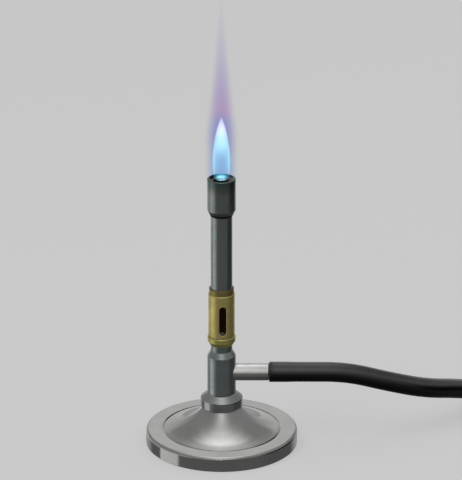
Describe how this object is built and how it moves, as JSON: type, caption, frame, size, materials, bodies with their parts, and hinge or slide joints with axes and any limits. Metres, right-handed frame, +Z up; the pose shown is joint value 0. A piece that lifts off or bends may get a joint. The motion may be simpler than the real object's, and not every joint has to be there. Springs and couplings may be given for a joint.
{
  "type": "bunsen burner",
  "caption": "bench gas burner: round trumpet foot, stem with side gas inlet, turning slotted brass air sleeve, tall barrel with thicker flame head, and its rubber gas hose",
  "frame": {"origin": "centre of the foot's underside, on the bench", "axes": "+Z up the barrel, +X out along the gas inlet, so the air slot looks out near -Y"},
  "size_m": [0.3091, 0.133, 0.1484],
  "materials": {
    "foot_metal": "polished nickel plate over a die casting, faint waviness",
    "ring_metal": "turned and plated, satin",
    "stem_metal": "plated, fine turning lines, slightly tarnished",
    "inlet_metal": "bright plated",
    "barrel_metal": "satin plated tube, grey-green cast, finger wear",
    "head_metal": "satin plated, heat-tinted towards the mouth",
    "pilot_metal": "heat-darkened steel",
    "sleeve_brass": "satin turned brass, lightly tarnished",
    "collar_brass": "turned brass, darker in the corners",
    "jet_brass": "bright turned brass",
    "spring_steel": "blued spring steel",
    "screw_steel": "zinc plated",
    "fibre_seal": "red vulcanised fibre",
    "hose_rubber": "extruded black rubber, satin, faint bloom",
    "tie_fabric": "woven hook-and-loop strap"
  },
  "bodies": {
    "burner": {"base_casting": "foot_metal", "base_screw": "screw_steel", "spring_washer": "screw_steel", "flat_washer": "screw_steel", "seat_ring": "ring_metal", "stem_body": "stem_metal", "inlet_nozzle": "inlet_metal", "inlet_seal": "fibre_seal", "gas_jet": "jet_brass", "jet_seal": "fibre_seal", "barrel": "barrel_metal", "stop_collar": "collar_brass", "snap_ring": "spring_steel", "flame_head": "head_metal", "pilot_ring": "pilot_metal", "gas_hose": "hose_rubber", "gas_hose_coil": "hose_rubber", "hose_tie": "tie_fabric"},
    "sleeve": {"air_sleeve": "sleeve_brass"}
  },
  "joints": [
    {"name": "air_sleeve_turn", "type": "hinge", "parent": "burner", "child": "sleeve", "pos_m": [0, 0, 0.0609], "axis": [0, 0, 1], "continuous": true}
  ]
}
